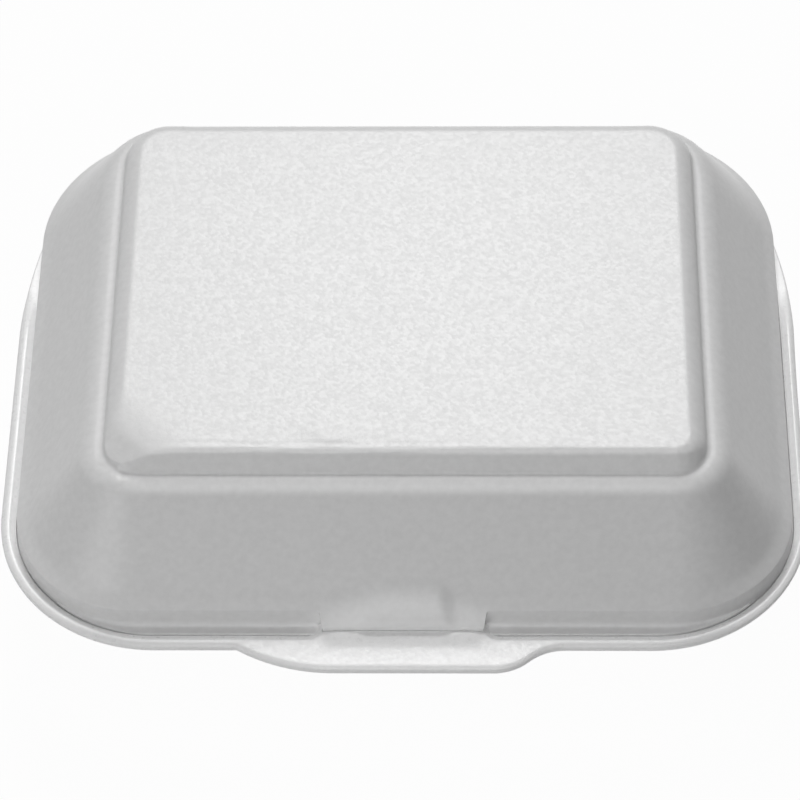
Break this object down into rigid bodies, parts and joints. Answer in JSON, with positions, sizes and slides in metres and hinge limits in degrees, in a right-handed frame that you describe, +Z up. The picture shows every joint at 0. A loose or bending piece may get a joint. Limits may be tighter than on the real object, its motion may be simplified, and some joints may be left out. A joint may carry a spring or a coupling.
{
  "type": "foam clamshell container",
  "caption": "Closed white foam food box: a flared tray with a beaded rim and a front tab, and a stepped lid on a living hinge, latched by a tongue through a slot.",
  "frame": {"origin": "middle of the tray's resting face, on the surface that the box stands on", "axes": "+X along the hinge line, to the right seen from the latch; +Y from the latch to the hinge; +Z up"},
  "size_m": [0.2404, 0.2159, 0.0874],
  "materials": {
    "foam": "white closed-cell foam skin, satin with fine cell texture"
  },
  "bodies": {
    "base": {"base_tray": "foam"},
    "lid": {"lid": "foam"}
  },
  "joints": [
    {"name": "lid_hinge", "type": "hinge", "parent": "base", "child": "lid", "pos_m": [0, 0.101, 0.0437], "axis": [-1, 0, 0], "range_deg": [0, 180]}
  ]
}
